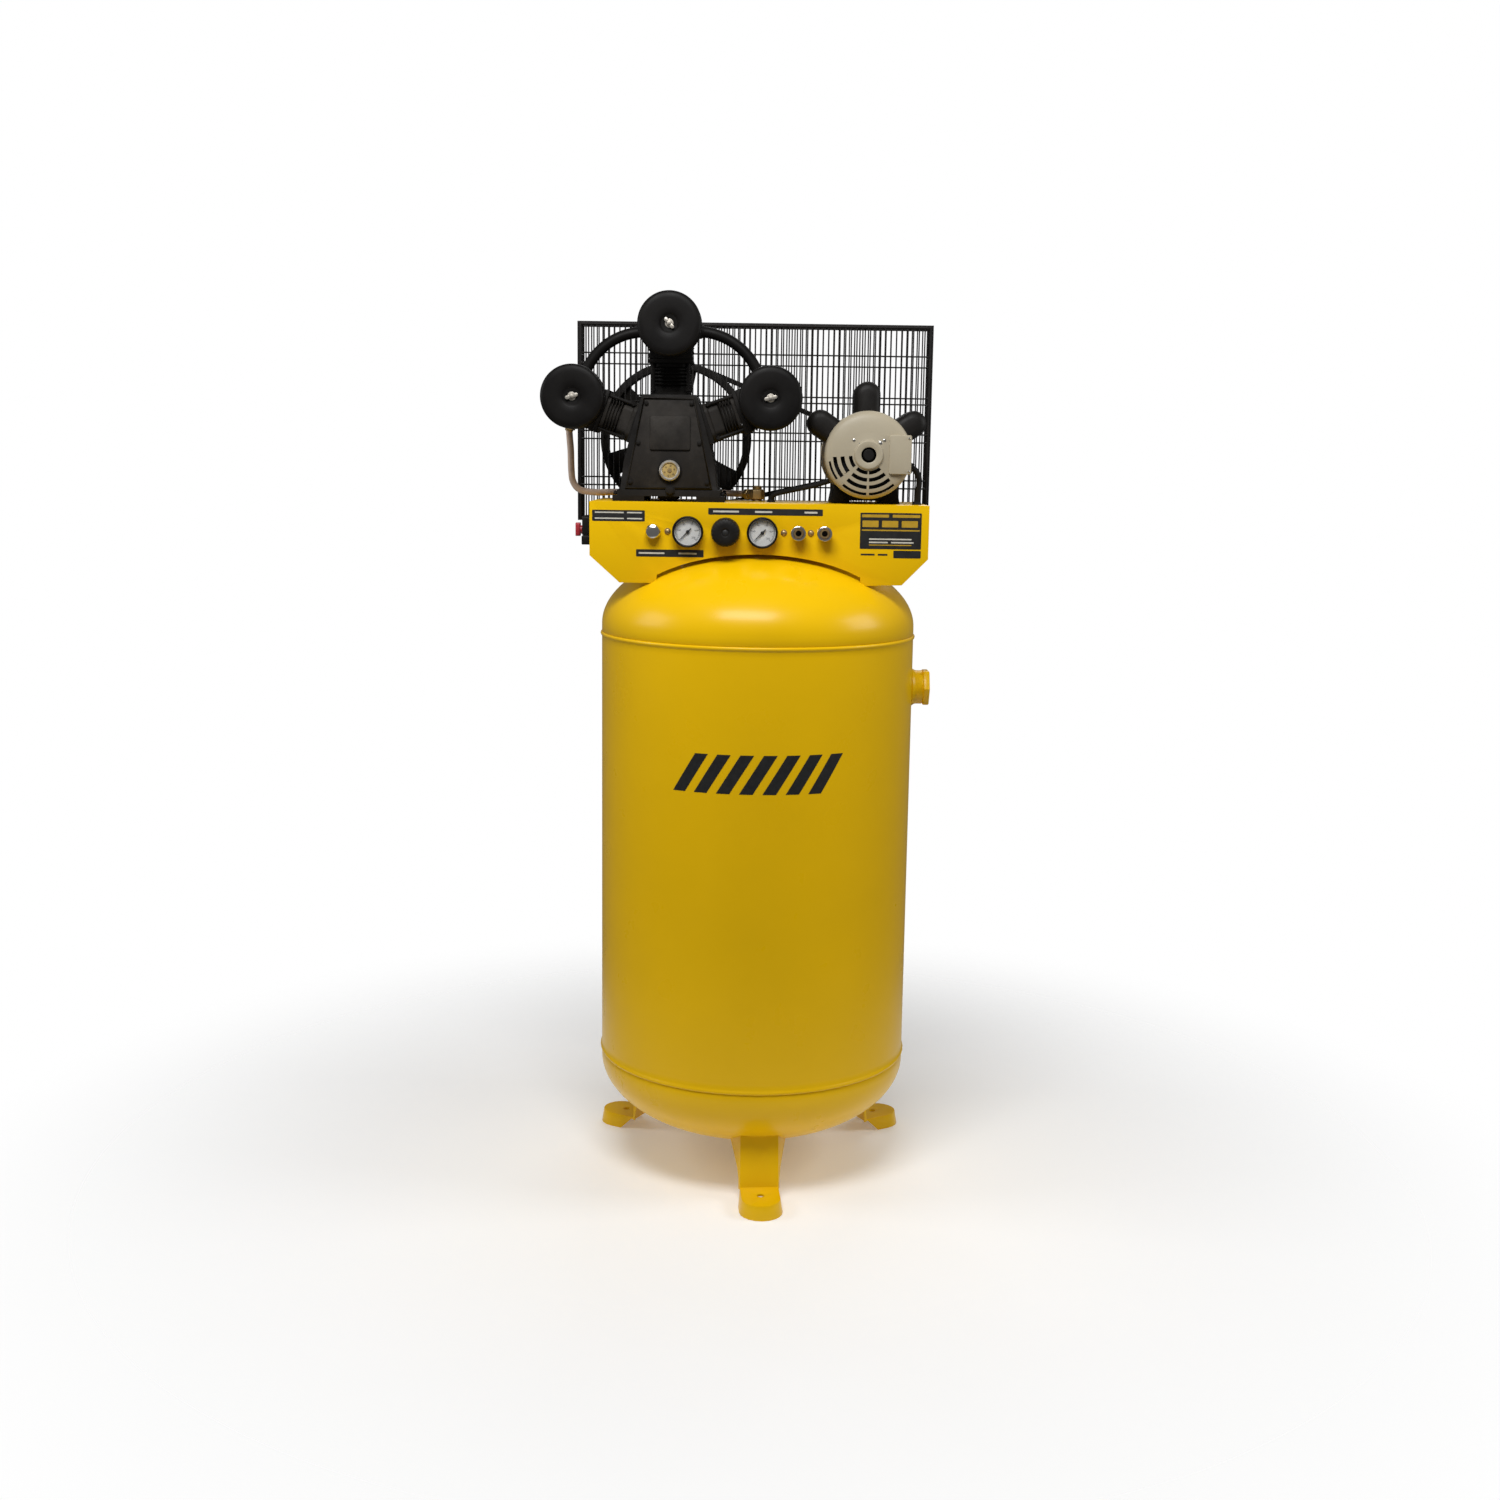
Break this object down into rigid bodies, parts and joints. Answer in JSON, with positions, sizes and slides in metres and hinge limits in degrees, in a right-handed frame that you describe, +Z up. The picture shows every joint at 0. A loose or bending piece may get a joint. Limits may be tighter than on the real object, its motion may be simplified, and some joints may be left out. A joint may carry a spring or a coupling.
{
  "type": "vertical tank air compressor",
  "caption": "Stationary air compressor with a belt-driven W pump and motor on a platform over a vertical receiver tank on three bolt-down feet.",
  "frame": {"origin": "on the floor, under the middle of the machine's overall box; the tank's axis is 32 mm towards +X and 23.2 mm towards +Y from it", "axes": "+Z up along the tank, -Y out of the control panel, +X to the motor's side"},
  "size_m": [0.752, 0.6609, 1.7055],
  "materials": {
    "yellow_paint": "glossy enamel over welded steel",
    "black_iron": "satin black painted casting",
    "black_paint": "satin black enamel",
    "guard_wire": "black coated wire",
    "beige_paint": "semi-gloss warm grey enamel",
    "steel": "plain machined steel",
    "piston_alloy": "machined alloy",
    "brass": "bare brass, lightly tarnished",
    "copper": "drawn copper tube, lightly tarnished",
    "chrome": "bright plate",
    "rubber": "black rubber",
    "black_plastic": "moulded black plastic",
    "red_plastic": "moulded red plastic",
    "gauge_case": "black enamelled case",
    "needle_black": "blackened pointer"
  },
  "bodies": {
    "machine": {"tank_shell": "yellow_paint", "tank_top_head": "yellow_paint", "tank_bottom_head": "yellow_paint", "leg_front": "yellow_paint", "leg_right": "yellow_paint", "leg_left": "yellow_paint", "side_port_plug": "yellow_paint", "platform": "yellow_paint", "crankcase": "black_iron", "cylinder_center": "black_iron", "cylinder_left": "black_iron", "cylinder_right": "black_iron", "head_center": "black_iron", "head_left": "black_iron", "head_right": "black_iron", "filter_center": "black_paint", "filter_left": "black_paint", "filter_right": "black_paint", "manifold_tube_left": "black_paint", "manifold_tube_right": "black_paint", "motor_base": "black_paint", "capacitor_cover_top": "black_paint", "capacitor_cover_left": "black_paint", "capacitor_cover_right": "black_paint", "guard_front_panel": "guard_wire", "guard_basket": "guard_wire", "motor_shell": "beige_paint", "motor_front_bell": "beige_paint", "oil_drain_plug": "steel", "air_manifold": "steel", "drain_valve": "brass", "check_valve": "brass", "coupler_left": "brass", "coupler_right": "brass", "safety_valve": "brass", "sight_glass": "brass", "discharge_tube": "copper", "outlet_plug": "chrome", "v_belt": "rubber", "motor_cable_left": "rubber", "motor_cable_right": "rubber", "oil_fill_plug": "black_plastic", "pressure_switch": "black_plastic", "gauge_tank": "gauge_case", "gauge_outlet": "gauge_case"},
    "crank": {"crankshaft": "steel", "flywheel": "black_iron"},
    "motor_drive": {"motor_rotor": "steel", "motor_pulley": "black_iron"},
    "piston_center_body": {"piston_center": "piston_alloy"},
    "piston_left_body": {"piston_left": "piston_alloy"},
    "piston_right_body": {"piston_right": "piston_alloy"},
    "gauge_tank_needle": {"needle_tank": "needle_black"},
    "gauge_outlet_needle": {"needle_outlet": "needle_black"},
    "regulator": {"regulator_knob": "black_plastic"},
    "sleeve_left": {"coupler_sleeve_left": "chrome"},
    "sleeve_right": {"coupler_sleeve_right": "chrome"},
    "lever": {"switch_lever": "red_plastic"},
    "drain": {"drain_handle": "brass"},
    "safety_ring": {"safety_valve_ring": "steel"}
  },
  "joints": [
    {"name": "crank_spin", "type": "hinge", "parent": "machine", "child": "crank", "pos_m": [-0.1395, 0.0232, 1.443], "axis": [0, 1, 0], "continuous": true},
    {"name": "motor_spin", "type": "hinge", "parent": "machine", "child": "motor_drive", "pos_m": [0.234, 0.0232, 1.4137], "axis": [0, 1, 0], "continuous": true},
    {"name": "piston_center_stroke", "type": "slide", "parent": "machine", "child": "piston_center_body", "axis": [0, 0, 1], "range_m": [-0.022, 0.022]},
    {"name": "piston_left_stroke", "type": "slide", "parent": "machine", "child": "piston_left_body", "axis": [-0.9426, 0, 0.3338], "range_m": [-0.022, 0.022]},
    {"name": "piston_right_stroke", "type": "slide", "parent": "machine", "child": "piston_right_body", "axis": [0.9426, 0, 0.3338], "range_m": [-0.022, 0.022]},
    {"name": "needle_tank_swing", "type": "hinge", "parent": "machine", "child": "gauge_tank_needle", "pos_m": [-0.1005, -0.1408, 1.2685], "axis": [0, 1, 0], "range_deg": [0, 270], "stiffness_Nm_per_rad": 0.002, "springref_deg": -14.32},
    {"name": "needle_outlet_swing", "type": "hinge", "parent": "machine", "child": "gauge_outlet_needle", "pos_m": [0.038, -0.1408, 1.2685], "axis": [0, 1, 0], "range_deg": [0, 270], "stiffness_Nm_per_rad": 0.002, "springref_deg": -14.32},
    {"name": "regulator_turn", "type": "hinge", "parent": "machine", "child": "regulator", "pos_m": [-0.0304, -0.1468, 1.2685], "axis": [0, 1, 0], "range_deg": [0, 1080]},
    {"name": "sleeve_left_slide", "type": "slide", "parent": "machine", "child": "sleeve_left", "axis": [0, 1, 0], "range_m": [0, 0.005], "stiffness_N_per_m": 800, "springref_m": -0.001},
    {"name": "sleeve_right_slide", "type": "slide", "parent": "machine", "child": "sleeve_right", "axis": [0, 1, 0], "range_m": [0, 0.005], "stiffness_N_per_m": 800, "springref_m": -0.001},
    {"name": "switch_lever_turn", "type": "hinge", "parent": "machine", "child": "lever", "pos_m": [-0.311, -0.0388, 1.266], "axis": [1, 0, 0], "range_deg": [0, 90]},
    {"name": "drain_handle_turn", "type": "hinge", "parent": "machine", "child": "drain", "pos_m": [0.032, -0.0008, 0.034], "axis": [0, 1, 0], "range_deg": [0, 90]},
    {"name": "safety_ring_pull", "type": "slide", "parent": "machine", "child": "safety_ring", "axis": [0, 0, 1], "range_m": [0, 0.004], "stiffness_N_per_m": 600, "springref_m": -0.001}
  ],
  "couplings": [
    {"joint": "motor_spin", "follows": "crank_spin", "ratio": 3.9053}
  ]
}
